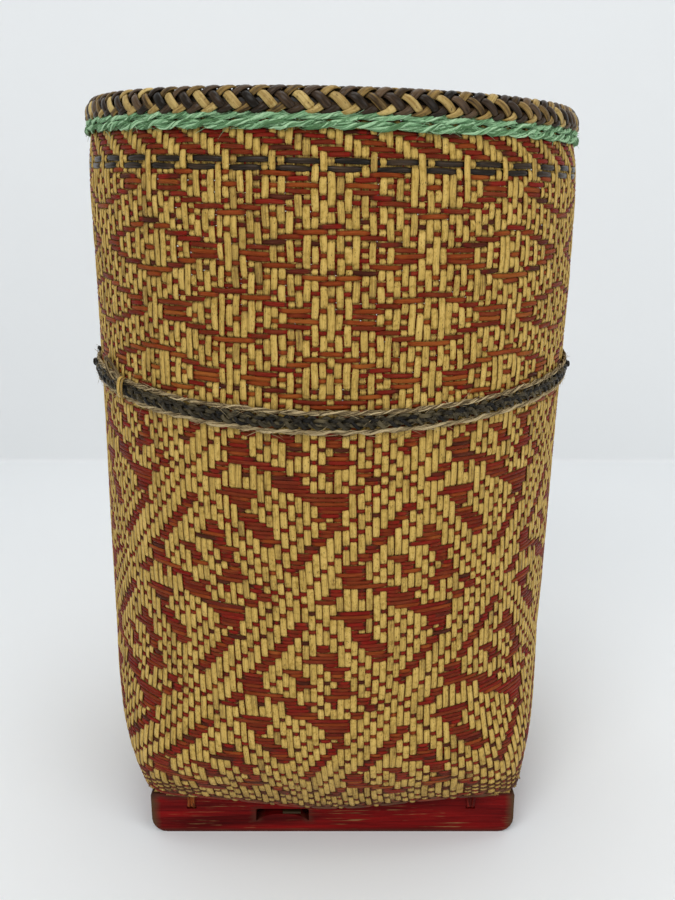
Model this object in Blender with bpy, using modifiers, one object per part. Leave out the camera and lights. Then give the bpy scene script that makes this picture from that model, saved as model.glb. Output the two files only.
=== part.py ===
# Dowry basket: a woven splint body, round at the mouth and square at the foot, on painted rails.
# Metres, +Z up, the origin on the ground under the middle of the basket, the front towards -Y.

import math

import bpy
import bmesh
from mathutils import Matrix, Vector

# Overall sizes
body_half_width = 0.1330     # half the width of the woven body where it is widest, just under the mouth
wall_top = 0.3830            # height of the wall's upper edge, inside the rim
wall_thickness = 0.0024      # one stake crossing one weft
rim_tilt_height = 0.0055     # how much lower the mouth stands on its right side than on its left
side_swell = 0.0036          # how far the lower body bellies out to the left
corner_lift = 0.0078         # how much higher the lower edge stands at the corners
clearance = 0.0003           # between pieces that touch
cut_overrun = 0.0040         # how far a cutter stands out of what it cuts

# The body's section is a superellipse: 2 is a circle, more is squarer
mouth_exponent = 2.0
foot_exponent = 10.5

# Height, half width, squareness and swell up the wall, as shares of the sizes above
profile_shares = [
    (0.000, 0.803, 1.000, 0.00),
    (0.015, 0.821, 0.746, 0.20),
    (0.038, 0.851, 0.468, 0.45),
    (0.059, 0.883, 0.296, 0.60),
    (0.083, 0.914, 0.188, 0.72),
    (0.106, 0.936, 0.126, 0.88),
    (0.132, 0.952, 0.084, 0.95),
    (0.160, 0.965, 0.053, 1.00),
    (0.216, 0.977, 0.018, 1.00),
    (0.284, 0.986, 0.004, 0.83),
    (0.390, 0.989, 0.000, 0.67),
    (0.554, 0.991, 0.000, 0.33),
    (0.773, 0.998, 0.000, -0.10),
    (0.895, 1.000, 0.000, -0.10),
    (0.914, 0.999, 0.000, -0.10),
    (0.921, 0.988, 0.000, -0.10),
    (0.938, 0.987, 0.000, -0.08),
    (0.945, 0.993, 0.000, -0.05),
    (0.974, 0.977, 0.000, 0.00),
    (1.000, 0.965, 0.000, 0.00),
]
tilt_start_share = 0.12      # the mouth's tilt grows from here
tilt_end_share = 0.92        # to here
lift_end_share = 0.13        # the corners' lift has died away here
around_steps = 48            # points round the body, a multiple of 8, so that each corner has one
crease_angle = math.radians(50.0)

# Rim: two hoops hold the wall's edge between them, and a plait is worked over all three
hoop_radius = 0.0015
hoop_drop = 0.0020           # hoops' middle below the wall's upper edge
plait_thickness = 0.0016
plait_leg = 0.0051           # straight part of the plait below its round crown
plait_crown_rise = 0.0006    # middle of the crown above the wall's upper edge
crown_steps = 6

# Green cords under the rim
green_radius = 0.0017
green_upper_drop = 0.0066    # upper cord's middle below the wall's upper edge

# Two dark wefts, in the shallow channel of the wall
dark_weft_radius = 0.0011
dark_weft_spacing = 0.0033
dark_weft_drop = 0.0258      # middle of the pair below the wall's upper edge

# Belt: a dark plait between two natural cords, tied at both sides and sagging at front and back
belt_height = 0.2525         # at the sides
belt_sag = 0.0085
belt_tilt = 0.0015           # higher by this on the right, lower on the left
belt_core_radius = 0.0022
belt_cord_radius = 0.0012
belt_cord_spacing = 0.0043   # each cord's middle above or below the plait's
stitch_radius = 0.0010
stitch_angle = math.radians(-52.0)
stitch_reach = 0.0052        # the stitch's ends beyond the belt's middle, along the wall
stitch_end_share = 0.75      # how far the ends stand out, of the middle's distance
loop_angle = math.radians(-61.0)
loop_half_width = 0.0075
loop_half_height = 0.0042
loop_cord_radius = 0.0011
loop_rise = 0.0085           # loop's middle above the belt's middle
upper_cord_start = math.radians(-45.0)
upper_cord_end = math.radians(285.0)
left_knot_angle = math.radians(-75.0)
left_knot_radius = 0.0022
right_knot_angle = math.radians(75.0)
right_knot_radius = 0.0017
loop_points = 16
stitch_points = 9

# Base: four rails under the floor, lashed through it
foot_overlap = 0.0073        # how far the wall's lower edge hangs below the rails' tops, at the middle of a side
rail_setback = 0.0053        # rails' outer faces behind the foot of the weave
rail_end_inset = 0.0007      # ends of the front and back rails behind the side rails' faces
rail_height = 0.0245
rail_thickness = 0.0090
rail_corner = 0.0085         # rounding of the front and back rails' lower ends
rail_small_corner = 0.0012   # rounding of the other ends
rail_edge = 0.0006           # rounding along the edges
corner_steps = 5
floor_thickness = 0.0020

side_names = ("front", "right", "back", "left")

# Lashings: a splint through the rail, up its face, over the floor and down again
lashing_width = 0.0046
lashing_thickness = 0.0010
lashing_hole_height = 0.0155
lashing_places_share = [-0.85, 0.04, 0.83]     # of the way from a rail's middle to the next rail
bend_steps = 2
bend_radius = 0.0014

# Crescent slot in the front rail, with a scrap of splint in it
slot_centre = -0.0280
slot_half_width = 0.0147
slot_top = 0.0147
slot_arch_depth = 0.0034     # under the slot's upper edge, at its middle
slot_horn_depth = 0.0079     # at its ends
slot_power = 3.0
slot_steps = 12
slot_end_rise_share = 0.9
splint_width = 0.0100
splint_thickness = 0.0013
splint_offset = 0.0052       # the scrap's middle, from the slot's

# Colours and finishes, as red, green, blue, roughness and metallic
finishes = {
    "woven_splint": (0.60, 0.42, 0.14, 0.55, 0.0),
    "floor_splint": (0.52, 0.38, 0.16, 0.65, 0.0),
    "rim_plait": (0.22, 0.13, 0.06, 0.35, 0.0),
    "hoop_rattan": (0.45, 0.31, 0.13, 0.50, 0.0),
    "green_raffia": (0.22, 0.50, 0.28, 0.75, 0.0),
    "dark_rattan": (0.05, 0.035, 0.025, 0.35, 0.0),
    "natural_cord": (0.50, 0.40, 0.22, 0.80, 0.0),
    "red_paint": (0.30, 0.015, 0.015, 0.40, 0.0),
    "red_splint": (0.55, 0.07, 0.03, 0.45, 0.0),
}


def clear_scene():
    for thing in list(bpy.data.objects):
        bpy.data.objects.remove(thing, do_unlink=True)


def make_collection(name):
    group = bpy.data.collections.new(name)
    bpy.context.scene.collection.children.link(group)
    return group


def make_material(name, finish):
    red, green, blue, roughness, metallic = finish
    material = bpy.data.materials.new(name)
    material.use_nodes = True
    shader = material.node_tree.nodes["Principled BSDF"]
    shader.inputs["Base Color"].default_value = (red, green, blue, 1.0)
    shader.inputs["Roughness"].default_value = roughness
    shader.inputs["Metallic"].default_value = metallic
    return material


def add_object(name, data, finish):
    piece = bpy.data.objects.new(name, data)
    data.materials.append(make_material(name + "_finish", finishes[finish]))
    basket.objects.link(piece)
    return piece


def smooth_step(value, start, end):
    share = min(max((value - start) / (end - start), 0.0), 1.0)
    return share * share * (3.0 - 2.0 * share)


# The wall's surface

def wall_bottom():
    # Height of the wall's lower edge at the middle of each side
    return rail_height - foot_overlap


def profile_height(height_share):
    return wall_bottom() + (wall_top - wall_bottom()) * height_share


def share_at(height):
    return (height - wall_bottom()) / (wall_top - wall_bottom())


def section_point(angle, station, out):
    # Angles run from the front, round by the right side
    height_share, width_share, square_share, swell_share = station
    exponent = mouth_exponent + (foot_exponent - mouth_exponent) * square_share
    across = abs(math.sin(angle))
    along = abs(math.cos(angle))
    reach = body_half_width * width_share / (across ** exponent + along ** exponent) ** (1.0 / exponent)
    facing = Vector((
        math.copysign(across ** (exponent - 1.0), math.sin(angle)),
        math.copysign(along ** (exponent - 1.0), -math.cos(angle)),
        0.0,
    )).normalized()
    x = reach * math.sin(angle)
    tilt = rim_tilt_height / (2.0 * body_half_width) * smooth_step(height_share, tilt_start_share, tilt_end_share)
    lift = corner_lift * math.sin(2.0 * angle) ** 2 * max(1.0 - height_share / lift_end_share, 0.0)
    point = Vector((
        x - side_swell * swell_share,
        -reach * math.cos(angle),
        profile_height(height_share) - tilt * x + lift,
    ))
    return point + facing * out


def wall_point(angle, height, out):
    # The wall is straight between the stations of its profile
    share = share_at(height)
    lower = profile_shares[0]
    upper = profile_shares[1]
    for below, above in zip(profile_shares, profile_shares[1:]):
        if share >= below[0]:
            lower, upper = below, above
    blend = (share - lower[0]) / (upper[0] - lower[0])
    return section_point(angle, lower, out).lerp(section_point(angle, upper, out), blend)


def ring_angles():
    return [2.0 * math.pi * step / around_steps for step in range(around_steps)]


def channel_height():
    return wall_top - dark_weft_drop


# Builders that several sub-parts share

def add_tube(name, points, radius, finish, cyclic, resolution=1):
    curve = bpy.data.curves.new(name, "CURVE")
    curve.dimensions = "3D"
    curve.bevel_depth = radius
    curve.bevel_resolution = resolution
    curve.use_fill_caps = not cyclic
    spline = curve.splines.new("POLY")
    spline.points.add(len(points) - 1)
    for slot, point in zip(spline.points, points):
        slot.co = (point[0], point[1], point[2], 1.0)
        slot.radius = 1.0
    spline.use_cyclic_u = cyclic
    spline.use_smooth = True
    return add_object(name, curve, finish)


def add_flat_piece(name, outlines, thickness, finish):
    # A plate in its own XY plane, cut to the first outline, with the others as holes
    curve = bpy.data.curves.new(name, "CURVE")
    curve.dimensions = "2D"
    curve.fill_mode = "BOTH"
    curve.extrude = thickness / 2.0
    for outline in outlines:
        spline = curve.splines.new("POLY")
        spline.points.add(len(outline) - 1)
        for slot, (across, up) in zip(spline.points, outline):
            slot.co = (across, up, 0.0, 1.0)
        spline.use_cyclic_u = True
        spline.use_smooth = False
    return add_object(name, curve, finish)


def made_mesh(piece, name):
    # The curve piece as a mesh of the same place, its caps welded on
    graph = bpy.context.evaluated_depsgraph_get()
    data = bpy.data.meshes.new_from_object(piece.evaluated_get(graph))
    mesh = bmesh.new()
    mesh.from_mesh(data)
    bmesh.ops.remove_doubles(mesh, verts=mesh.verts, dist=clearance / 10.0)
    mesh.to_mesh(data)
    mesh.free()
    made = bpy.data.objects.new(name, data)
    made.matrix_world = piece.matrix_world
    basket.objects.link(made)
    bpy.data.objects.remove(piece, do_unlink=True)
    return made


def make_cutter(cutter):
    for group in list(cutter.users_collection):
        group.objects.unlink(cutter)
    cutter.hide_render = True
    cutter.display_type = "WIRE"
    cutters.objects.link(cutter)
    return cutter


def box_cutter(name, boxes):
    # Each box is its size and its place
    mesh = bmesh.new()
    for size, place in boxes:
        bmesh.ops.create_cube(mesh, size=1.0, matrix=place @ Matrix.Diagonal(size).to_4x4())
    data = bpy.data.meshes.new(name)
    mesh.to_mesh(data)
    mesh.free()
    return make_cutter(bpy.data.objects.new(name, data))


def cut_with(piece, cutter):
    cut = piece.modifiers.new(cutter.name, "BOOLEAN")
    cut.operation = "DIFFERENCE"
    cut.solver = "EXACT"
    cut.object = cutter


def rounded_box(low_x, high_x, low_y, high_y, radii, steps):
    # Corners in order: low right, high right, high left, low left
    low_right, high_right, high_left, low_left = radii
    corners = [
        (high_x - low_right, low_y + low_right, low_right, -math.pi / 2.0),
        (high_x - high_right, high_y - high_right, high_right, 0.0),
        (low_x + high_left, high_y - high_left, high_left, math.pi / 2.0),
        (low_x + low_left, low_y + low_left, low_left, math.pi),
    ]
    outline = []
    for centre_x, centre_y, radius, start in corners:
        for step in range(steps + 1):
            turn = start + math.pi / 2.0 * step / steps
            outline.append((centre_x + radius * math.cos(turn), centre_y + radius * math.sin(turn)))
    return outline


def plain_box(low_x, high_x, low_y, high_y):
    return [(low_x, low_y), (high_x, low_y), (high_x, high_y), (low_x, high_y)]


# Woven body

def lay_ring(mesh, edges, points):
    # Extrudes the open ring of edges and lays the new ring on the given points
    if edges is None:
        ring = [mesh.verts.new(point) for point in points]
        return [mesh.edges.new((ring[index - 1], ring[index])) for index in range(len(ring))]
    order = ordered_ring(edges)
    grown = bmesh.ops.extrude_edge_only(mesh, edges=edges)["geom"]
    new_edges = [item for item in grown if isinstance(item, bmesh.types.BMEdge)]
    new_verts = set(item for item in grown if isinstance(item, bmesh.types.BMVert))
    for old, point in zip(order, points):
        for edge in old.link_edges:
            other = edge.other_vert(old)
            if other in new_verts:
                other.co = point
    return [edge for edge in new_edges if edge.verts[0] in new_verts and edge.verts[1] in new_verts]


def ordered_ring(edges):
    verts = sorted(set(vert for edge in edges for vert in edge.verts), key=lambda vert: vert.index)
    return verts


def build_body_wall():
    # Up the outer face and down the inner one, closed at the lower edge
    data = bpy.data.meshes.new("body_wall")
    mesh = bmesh.new()
    outer = [[section_point(angle, station, 0.0) for angle in ring_angles()] for station in profile_shares]
    inner = [[section_point(angle, station, -wall_thickness) for angle in ring_angles()]
             for station in reversed(profile_shares)]
    edges = None
    first = None
    for points in outer + inner:
        edges = lay_ring(mesh, edges, points)
        mesh.verts.index_update()
        first = first or list(edges)
    bmesh.ops.bridge_loops(mesh, edges=first + edges)
    bmesh.ops.recalc_face_normals(mesh, faces=mesh.faces)
    mesh.to_mesh(data)
    mesh.free()
    data.shade_smooth()
    data.set_sharp_from_angle(angle=crease_angle)
    return add_object("body_wall", data, "woven_splint")


def lifted_share(angle, height):
    # The profile's share at which the wall, with its corners lifted, stands at a height
    lift_share = corner_lift * math.sin(2.0 * angle) ** 2 / (wall_top - wall_bottom())
    return max((share_at(height) - lift_share) / (1.0 - lift_share / lift_end_share), 0.0)


def build_floor():
    outline = []
    for angle in ring_angles():
        height = profile_height(lifted_share(angle, rail_height + clearance))
        point = wall_point(angle, height, -wall_thickness - clearance)
        outline.append((point.x, point.y))
    plate = add_flat_piece("floor_outline", [outline], floor_thickness, "floor_splint")
    floor = made_mesh(plate, "floor_panel")
    floor.location.z = rail_height + clearance + floor_thickness / 2.0
    cut_with(floor, build_floor_cutter())
    return floor


def build_floor_cutter():
    # A notch for each lashing's outer leg, open at the floor's edge, and a slot for its inner leg
    boxes = []
    height = floor_thickness + 2.0 * cut_overrun
    middle_z = rail_height + clearance + floor_thickness / 2.0
    (_, outer_high), (inner_low, inner_high) = lashing_legs()
    spans = [(-body_half_width, outer_high + clearance), (inner_low - clearance, inner_high + clearance)]
    for _, turn, _ in rail_places():
        for along in lashing_places():
            for low_y, high_y in spans:
                size = Vector((lashing_width + 2.0 * clearance, high_y - low_y, height))
                middle = Vector((along, (low_y + high_y) / 2.0, middle_z))
                boxes.append((size, Matrix.Rotation(turn, 4, "Z") @ Matrix.Translation(middle)))
    return box_cutter("lashing_slot_cutter", boxes)


# Rim

def build_rim():
    hoop_height = wall_top - hoop_drop
    outer_points = [wall_point(angle, hoop_height, clearance + hoop_radius) for angle in ring_angles()]
    inner_points = [wall_point(angle, hoop_height, -wall_thickness - clearance - hoop_radius)
                    for angle in ring_angles()]
    add_tube("rim_hoop_outer", outer_points, hoop_radius, "hoop_rattan", True)
    add_tube("rim_hoop_inner", inner_points, hoop_radius, "hoop_rattan", True)
    build_rim_plait()


def build_rim_plait():
    # The plait's section is an arch over the wall's edge and the two hoops
    wall_middle = body_half_width * profile_shares[-1][1] - wall_thickness / 2.0
    wall_at_hoop = wall_point(0.0, wall_top - hoop_drop, 0.0).length_squared
    hoop_reach = math.sqrt(wall_at_hoop - (wall_top - hoop_drop) ** 2)
    inside = hoop_reach - wall_middle + 2.0 * hoop_radius + 2.0 * clearance
    outside = inside + plait_thickness
    crown = wall_top + plait_crown_rise
    legs_end = crown - plait_leg
    section = [(wall_middle + outside, legs_end)]
    for step in range(crown_steps + 1):
        turn = math.pi * step / crown_steps
        section.append((wall_middle + outside * math.cos(turn), crown + outside * math.sin(turn)))
    section.append((wall_middle - outside, legs_end))
    section.append((wall_middle - inside, legs_end))
    for step in range(crown_steps + 1):
        turn = math.pi * (1.0 - step / crown_steps)
        section.append((wall_middle + inside * math.cos(turn), crown + inside * math.sin(turn)))
    section.append((wall_middle + inside, legs_end))
    data = bpy.data.meshes.new("rim_braid")
    mesh = bmesh.new()
    verts = [mesh.verts.new((across, 0.0, up)) for across, up in section]
    for index in range(len(verts)):
        mesh.edges.new((verts[index - 1], verts[index]))
    mesh.to_mesh(data)
    mesh.free()
    plait = add_object("rim_braid", data, "rim_plait")
    plait.rotation_euler.y = math.atan(rim_tilt_height / (2.0 * body_half_width))
    turn_of_rim = Matrix.Rotation(plait.rotation_euler.y, 4, "Y")
    crown_point = Vector((0.0, 0.0, crown))
    plait.location = crown_point - turn_of_rim @ crown_point
    screw = plait.modifiers.new("turned", "SCREW")
    screw.steps = around_steps
    screw.render_steps = around_steps
    screw.use_merge_vertices = True
    screw.merge_threshold = clearance / 10.0
    screw.use_normal_calculate = True
    return plait


def build_green_cords():
    upper = wall_top - green_upper_drop
    lower = upper - 2.0 * green_radius - clearance
    for name, height in (("green_cord_upper", upper), ("green_cord_lower", lower)):
        points = [wall_point(angle, height, clearance + green_radius) for angle in ring_angles()]
        add_tube(name, points, green_radius, "green_raffia", True)


def build_dark_wefts():
    for name, side in (("dark_weft_upper", 1.0), ("dark_weft_lower", -1.0)):
        height = channel_height() + side * dark_weft_spacing / 2.0
        points = [wall_point(angle, height, clearance + dark_weft_radius) for angle in ring_angles()]
        add_tube(name, points, dark_weft_radius, "dark_rattan", True)


# Belt

def belt_level(angle):
    return belt_height - belt_sag * math.cos(angle) ** 2 + belt_tilt * math.sin(angle)


def belt_point(angle, rise, out):
    return wall_point(angle, belt_level(angle) + rise, out)


def angles_between(start, end):
    # The ring's own angles between two ends, with the ends themselves
    step = 2.0 * math.pi / around_steps
    first = math.floor(start / step) + 1
    last = math.ceil(end / step) - 1
    return [start] + [step * index for index in range(first, last + 1)] + [end]


def build_belt():
    core_out = clearance + belt_core_radius
    cord_out = clearance + belt_cord_radius
    core = [belt_point(angle, 0.0, core_out) for angle in ring_angles()]
    lower = [belt_point(angle, -belt_cord_spacing, cord_out) for angle in ring_angles()]
    upper = [belt_point(angle, belt_cord_spacing, cord_out)
             for angle in angles_between(upper_cord_start, upper_cord_end)]
    add_tube("belt_braid", core, belt_core_radius, "dark_rattan", True, 2)
    add_tube("belt_cord_lower", lower, belt_cord_radius, "natural_cord", True)
    add_tube("belt_cord_upper", upper, belt_cord_radius, "natural_cord", False)
    build_belt_stitch()
    build_belt_loop()
    build_belt_knots()


def build_belt_stitch():
    # A short arch of splint over the dark plait, between its two cords
    front = clearance * 2.0 + belt_core_radius * 2.0 + stitch_radius
    points = []
    for step in range(stitch_points):
        turn = math.pi * (step / (stitch_points - 1) - 0.5)
        rise = stitch_reach * math.sin(turn)
        bow = max(math.cos(turn), stitch_end_share)
        points.append(belt_point(stitch_angle, rise, front * bow))
    return add_tube("belt_stitch", points, stitch_radius, "natural_cord", False, 2)


def build_belt_loop():
    # A flat loop of the upper cord, lying on the wall above the belt
    out = clearance + loop_cord_radius
    points = []
    for step in range(loop_points):
        turn = 2.0 * math.pi * step / loop_points
        angle = loop_angle + loop_half_width * math.cos(turn) / body_half_width
        points.append(belt_point(angle, loop_rise + loop_half_height * math.sin(turn), out))
    return add_tube("belt_end_loop", points, loop_cord_radius, "natural_cord", True)


def build_belt_knots():
    places = (
        ("belt_knot_left", left_knot_angle, left_knot_radius),
        ("belt_knot_right", right_knot_angle, right_knot_radius),
    )
    for name, angle, radius in places:
        out = clearance * 2.0 + belt_core_radius * 2.0 + radius
        data = bpy.data.meshes.new(name)
        mesh = bmesh.new()
        bmesh.ops.create_uvsphere(mesh, u_segments=12, v_segments=8, radius=radius)
        mesh.to_mesh(data)
        mesh.free()
        data.shade_smooth()
        knot = add_object(name, data, "dark_rattan")
        knot.location = belt_point(angle, 0.0, out)


# Base

def rail_half_span():
    # From the middle of the basket to a rail's outer face
    return body_half_width * profile_shares[0][1] - rail_setback


def inner_half_span():
    # From the middle of a side to the rail that meets it there
    return rail_half_span() - rail_thickness - clearance


def rail_places():
    # Turn about Z and length of each rail
    whole_length = 2.0 * (rail_half_span() - rail_end_inset)
    inner_length = 2.0 * inner_half_span()
    turns = (0.0, math.pi / 2.0, math.pi, -math.pi / 2.0)
    return list(zip(side_names, turns, (whole_length, inner_length, whole_length, inner_length)))


def lashing_places():
    return [share * inner_half_span() for share in lashing_places_share]


def lashing_legs():
    # The spans of a lashing's outer and inner leg, across the rail
    outer = -rail_half_span() - clearance
    inner = -rail_half_span() + rail_thickness + clearance
    return [(outer - lashing_thickness, outer), (inner, inner + lashing_thickness)]


def lashing_levels():
    bottom = lashing_hole_height - lashing_thickness / 2.0
    top = rail_height + clearance + floor_thickness + clearance + lashing_thickness
    return bottom, top


def crescent():
    # Straight upper edge, and a lower edge that arches up between two horns
    outline = []
    end_top = slot_top - slot_arch_depth * (1.0 - slot_end_rise_share)
    outline.append((slot_centre + slot_half_width, end_top))
    outline.append((slot_centre + slot_half_width * slot_end_rise_share, slot_top))
    outline.append((slot_centre - slot_half_width * slot_end_rise_share, slot_top))
    outline.append((slot_centre - slot_half_width, end_top))
    for step in range(slot_steps + 1):
        share = -1.0 + 2.0 * step / slot_steps
        depth = slot_arch_depth + (slot_horn_depth - slot_arch_depth) * abs(share) ** slot_power
        outline.append((slot_centre + slot_half_width * share, slot_top - depth))
    return outline


def build_rails():
    for name, turn, length in rail_places():
        whole_ends = name in ("front", "back")
        low = rail_corner if whole_ends else rail_small_corner
        radii = (low, rail_small_corner, rail_small_corner, low)
        outline = rounded_box(-length / 2.0, length / 2.0, 0.0, rail_height, radii, corner_steps)
        plank = add_flat_piece(name + "_outline", [outline], rail_thickness, "red_paint")
        rail = made_mesh(plank, name + "_rail")
        place = upright_place(turn, rail_half_span() - rail_thickness / 2.0)
        rail.matrix_world = place
        bevel = rail.modifiers.new("edges", "BEVEL")
        bevel.width = rail_edge
        bevel.segments = 2
        bevel.limit_method = "ANGLE"
        cut_with(rail, build_hole_cutter(name, place))
        if name == "front":
            plug = add_flat_piece("crescent_outline", [crescent()], cut_depth(), "red_paint")
            slot_cutter = make_cutter(made_mesh(plug, "crescent_cutter"))
            slot_cutter.matrix_world = place
            cut_with(rail, slot_cutter)


def cut_depth():
    return rail_thickness + 2.0 * cut_overrun


def build_hole_cutter(name, place):
    width = lashing_width + 2.0 * clearance
    height = lashing_thickness + 2.0 * clearance
    size = Vector((width, height, cut_depth()))
    boxes = [(size, Matrix.Translation(Vector((along, lashing_hole_height, 0.0))))
             for along in lashing_places()]
    cutter = box_cutter(name + "_hole_cutter", boxes)
    cutter.matrix_world = place
    return cutter


def upright_place(turn, inset):
    # Stands a flat piece upright, its face outwards, along one side of the base
    upright = Matrix.Rotation(math.pi / 2.0, 4, "X")
    place = Matrix.Translation(Vector((0.0, -inset, 0.0)))
    return Matrix.Rotation(turn, 4, "Z") @ place @ upright


def build_lashings():
    bottom, top = lashing_levels()
    (outer_low, _), (_, inner_high) = lashing_legs()
    outer = rounded_box(outer_low, inner_high, bottom, top, (bend_radius,) * 4, bend_steps)
    inner = rounded_box(
        outer_low + lashing_thickness,
        inner_high - lashing_thickness,
        bottom + lashing_thickness,
        top - lashing_thickness,
        (bend_radius - lashing_thickness,) * 4,
        1,
    )
    across_rail = Matrix.Rotation(math.pi / 2.0, 4, "Z") @ Matrix.Rotation(math.pi / 2.0, 4, "X")
    for name, turn, _ in rail_places():
        for number, along in enumerate(lashing_places(), 1):
            title = "%s_lashing_%d" % (name, number)
            band = add_flat_piece(title, [outer, inner], lashing_width, "red_splint")
            place = Matrix.Translation(Vector((along, 0.0, 0.0)))
            band.matrix_world = Matrix.Rotation(turn, 4, "Z") @ place @ across_rail


def build_slot_splint():
    # A scrap of splint lying through the crescent slot, on its arch
    height = slot_top - slot_arch_depth + clearance + splint_thickness / 2.0
    outline = plain_box(-splint_width / 2.0, splint_width / 2.0, -rail_thickness / 2.0, rail_thickness / 2.0)
    scrap = add_flat_piece("slot_splint", [outline], splint_thickness, "hoop_rattan")
    scrap.location = (slot_centre + splint_offset, -rail_half_span() + rail_thickness / 2.0, height)


clear_scene()
basket = make_collection("dowry_basket")
cutters = make_collection("cutters")
build_body_wall()
build_floor()
build_rim()
build_green_cords()
build_dark_wefts()
build_belt()
build_rails()
build_lashings()
build_slot_splint()
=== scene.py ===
import math
import bpy, bmesh
import numpy as np
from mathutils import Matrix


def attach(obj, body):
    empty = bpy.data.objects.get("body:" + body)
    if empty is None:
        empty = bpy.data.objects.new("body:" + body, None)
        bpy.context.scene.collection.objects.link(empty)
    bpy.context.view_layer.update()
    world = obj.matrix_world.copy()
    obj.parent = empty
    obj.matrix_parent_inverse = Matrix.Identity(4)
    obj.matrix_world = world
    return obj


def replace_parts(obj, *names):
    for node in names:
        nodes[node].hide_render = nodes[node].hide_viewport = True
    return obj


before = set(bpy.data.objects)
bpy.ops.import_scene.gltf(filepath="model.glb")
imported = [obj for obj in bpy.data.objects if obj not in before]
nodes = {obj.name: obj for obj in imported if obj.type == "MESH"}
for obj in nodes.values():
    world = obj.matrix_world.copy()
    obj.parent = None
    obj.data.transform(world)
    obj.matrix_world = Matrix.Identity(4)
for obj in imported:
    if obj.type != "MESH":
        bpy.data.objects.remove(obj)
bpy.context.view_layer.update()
dice = np.random.default_rng(26)
print("frame loaded,", len(nodes), "nodes")


def anyPhase(count=None):
    return dice.uniform(0, 6.3, count)


# the wall's surface

wall = dict(
    # height, half width, squareness (2 is a circle), sideways lean of the middle
    rows=[(.0172, .1064, 10.5, 0), (.0227, .1092, 8.34, -.0007), (.0311, .1132, 5.98, -.0016),
          (.0388, .1174, 4.52, -.0022), (.0474, .1215, 3.60, -.0026), (.0561, .1245, 3.07, -.0032),
          (.0653, .1266, 2.71, -.0033), (.0748, .1283, 2.45, -.0036), (.0963, .1298, 2.15, -.0036),
          (.1209, .1311, 2.03, -.0030), (.1600, .1316, 2, -.0024), (.2200, .1317, 2, -.0012),
          (.3000, .1327, 2, .0003), (.3450, .1330, 2, .0003), (.3620, .1322, 2, .0003),
          (.3735, .1300, 2, 0), (.3785, .1283, 2, 0)],
    easeSteps=9, easeWidth=3.,                       # the rows are eased over a few millimetres
    tilt=.0207, tiltFrom=.06, tiltTo=.36,            # the rim leans down to the right
    cornerLift=.0078, liftFrom=.0172, liftTo=.065,   # the lowest rows rise at the square foot's corners
)


def smoothStep(x, low, high):
    t = np.clip((x - low) / (high - low), 0, 1)
    return t * t * (3 - 2 * t)


profileHeights = np.linspace(.010, .395, 386)        # a millimetre apart
profileRows = np.array(wall["rows"])
easing = np.exp(-.5 * (np.arange(-wall["easeSteps"], wall["easeSteps"] + 1) / wall["easeWidth"]) ** 2)
easing /= easing.sum()


def easedColumn(column):
    heights = np.pad(profileHeights, wall["easeSteps"], "reflect", reflect_type="odd")
    return np.convolve(np.interp(heights, profileRows[:, 0], profileRows[:, column]), easing, "valid")


profile = [easedColumn(column) for column in (1, 2, 3)]


def wallSpot(angle, height):
    halfWidth, square, centre = (np.interp(height, profileHeights, values) for values in profile)
    reach = halfWidth / (abs(np.cos(angle)) ** square + abs(np.sin(angle)) ** square) ** (1 / square)
    settled = smoothStep(height, wall["liftFrom"], wall["liftTo"])
    lift = wall["cornerLift"] * np.sin(2 * angle) ** 2 * (1 - settled)
    x = reach * np.sin(angle)
    z = height + lift - wall["tilt"] * smoothStep(height, wall["tiltFrom"], wall["tiltTo"]) * x
    return np.stack([centre + x, -reach * np.cos(angle), z], -1)


def wallPoint(angle, height, out=0.):
    # a point of the wall's outer face, moved out along the face's normal
    angle, height, out = np.broadcast_arrays(angle, height, out)
    step = 1e-4
    spot = wallSpot(angle, height)
    normal = np.cross(wallSpot(angle + step, height) - spot, wallSpot(angle, height + step) - spot)
    normal /= np.linalg.norm(normal, axis=-1, keepdims=True)
    return spot + normal * out[..., None]


# making meshes: a band is points[along, across, 3], lay[along, across, 3] and tone[along, across]
# lay runs along the splint, across it, and by a third number that gives each splint fibres of its own

seamGap = 2e-6                                       # the ends of a closed band are merged within this
tubeLayer = 7.                                       # times a tube's tone, its third number in lay


def bandsToMesh(name, bands, material, thickness=0., closeAlong=False, closeAcross=False):
    bm = bmesh.new()
    spots, lays, tones = [], [], []
    for points, lay, tone in bands:
        bmesh.ops.create_grid(bm, x_segments=points.shape[1] - 1, y_segments=points.shape[0] - 1, size=1)
        spots.append(points.reshape(-1, 3))
        lays.append(np.broadcast_to(lay, points.shape).reshape(-1, 3))
        tones.append(np.broadcast_to(tone, points.shape[:2]).reshape(-1))
    mesh = bpy.data.meshes.new(name)
    bm.to_mesh(mesh)
    bm.free()
    mesh.vertices.foreach_set("co", np.concatenate(spots).astype(np.float32).ravel())
    mesh.attributes.new("lay", "FLOAT_VECTOR", "POINT").data.foreach_set(
        "vector", np.concatenate(lays).astype(np.float32).ravel())
    mesh.attributes.new("tone", "FLOAT", "POINT").data.foreach_set(
        "value", np.concatenate(tones).astype(np.float32))
    if closeAlong or closeAcross:
        bm = bmesh.new()
        bm.from_mesh(mesh)
        bmesh.ops.remove_doubles(bm, verts=[v for v in bm.verts if v.is_boundary], dist=seamGap)
        if closeAcross and not closeAlong:
            bmesh.ops.holes_fill(bm, edges=[e for e in bm.edges if e.is_boundary], sides=0)
        bm.to_mesh(mesh)
        bm.free()
    mesh.shade_smooth()
    mesh.materials.append(material)
    piece = bpy.data.objects.new(name, mesh)
    bpy.context.scene.collection.objects.link(piece)
    if thickness:
        solid = piece.modifiers.new("thickness", "SOLIDIFY")
        solid.thickness, solid.offset, solid.use_even_offset = thickness, -1, False
    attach(piece, "root")
    return piece


def layOut(along, across, layer):
    return np.stack(np.broadcast_arrays(along, across, layer), -1)


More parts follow.
